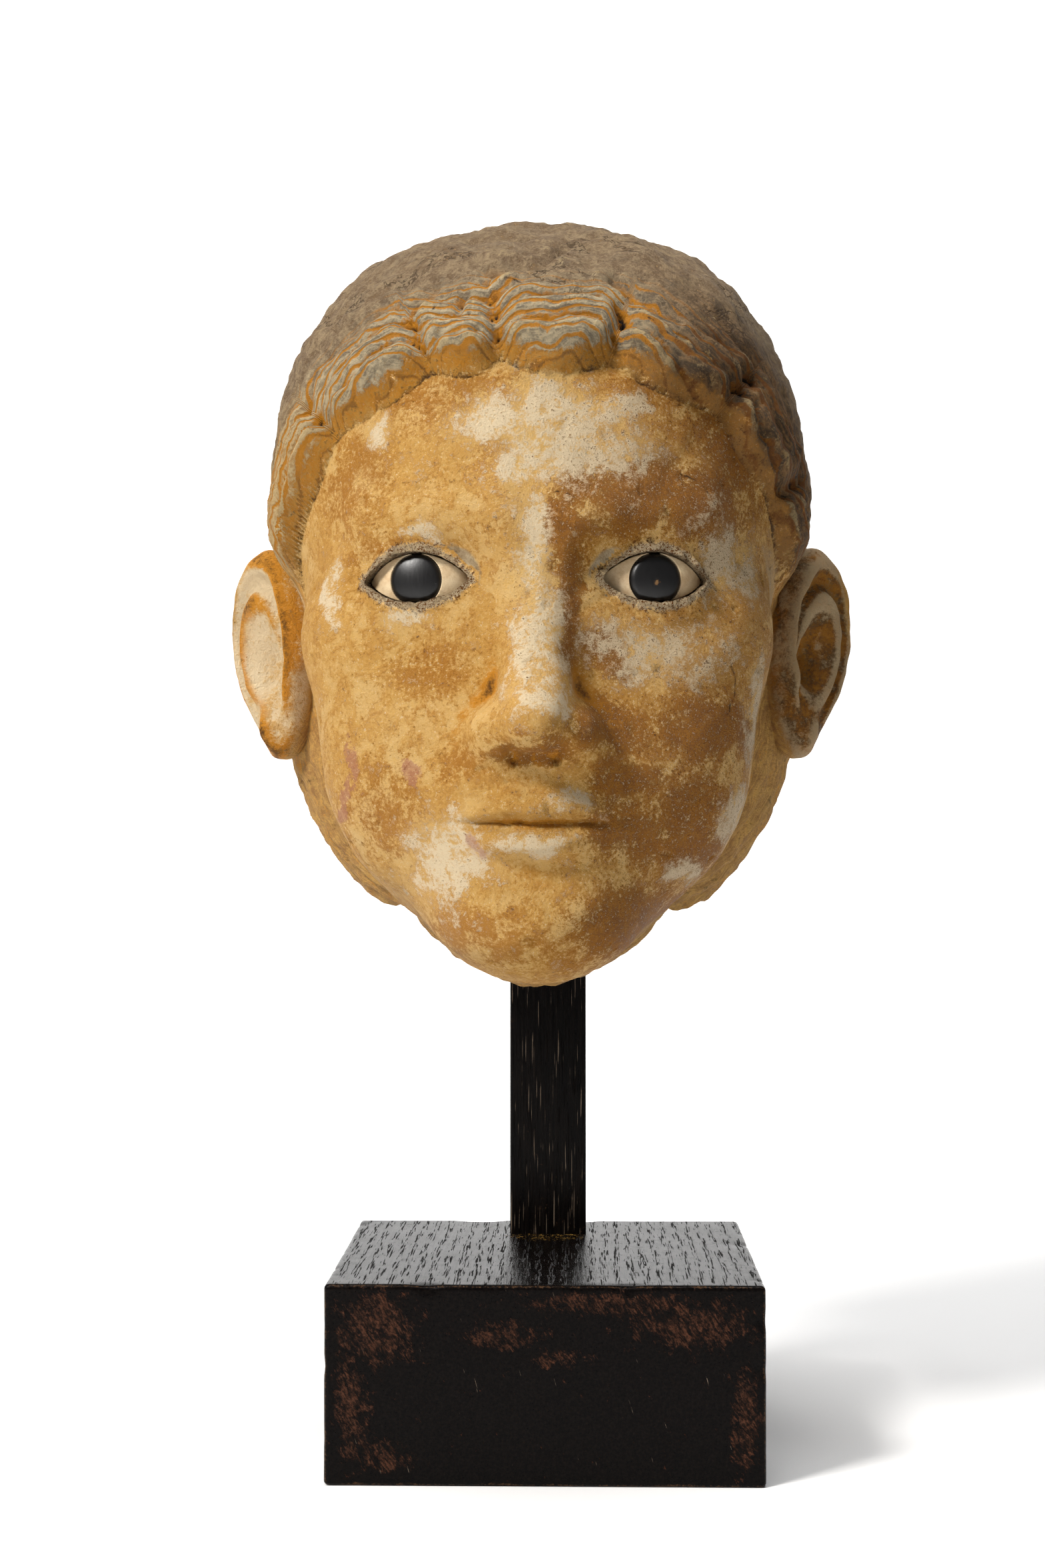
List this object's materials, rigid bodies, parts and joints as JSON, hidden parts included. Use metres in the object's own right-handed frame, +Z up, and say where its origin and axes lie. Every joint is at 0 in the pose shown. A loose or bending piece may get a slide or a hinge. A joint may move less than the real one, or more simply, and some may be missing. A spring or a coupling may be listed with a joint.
{
  "type": "egyptian mummy mask",
  "caption": "Hollow moulded plaster funerary mask with combed wavy hair and inlaid eyes, carried on a dark oak post and block.",
  "frame": {"origin": "centre of the block's underside", "axes": "+Z up along the post, -Y out of the mask's face, +X towards the mask's own left ear"},
  "size_m": [0.201, 0.1664, 0.3763],
  "materials": {
    "dark_oak": "oak stained near black, open grain, waxed to a soft sheen, worn along its edges",
    "patinated_plaster": "moulded gypsum plaster with a blotched ochre patina over cream, and worn grey paint on the hair",
    "white_stone": "cream stone, polished once and now dull",
    "black_glass": "opaque black disc, glossy with fine scratches"
  },
  "bodies": {
    "root": {"base_block": "dark_oak", "post": "dark_oak", "mask": "patinated_plaster", "eye_white_left": "white_stone", "iris_left": "black_glass", "eye_white_right": "white_stone", "iris_right": "black_glass"}
  },
  "joints": []
}
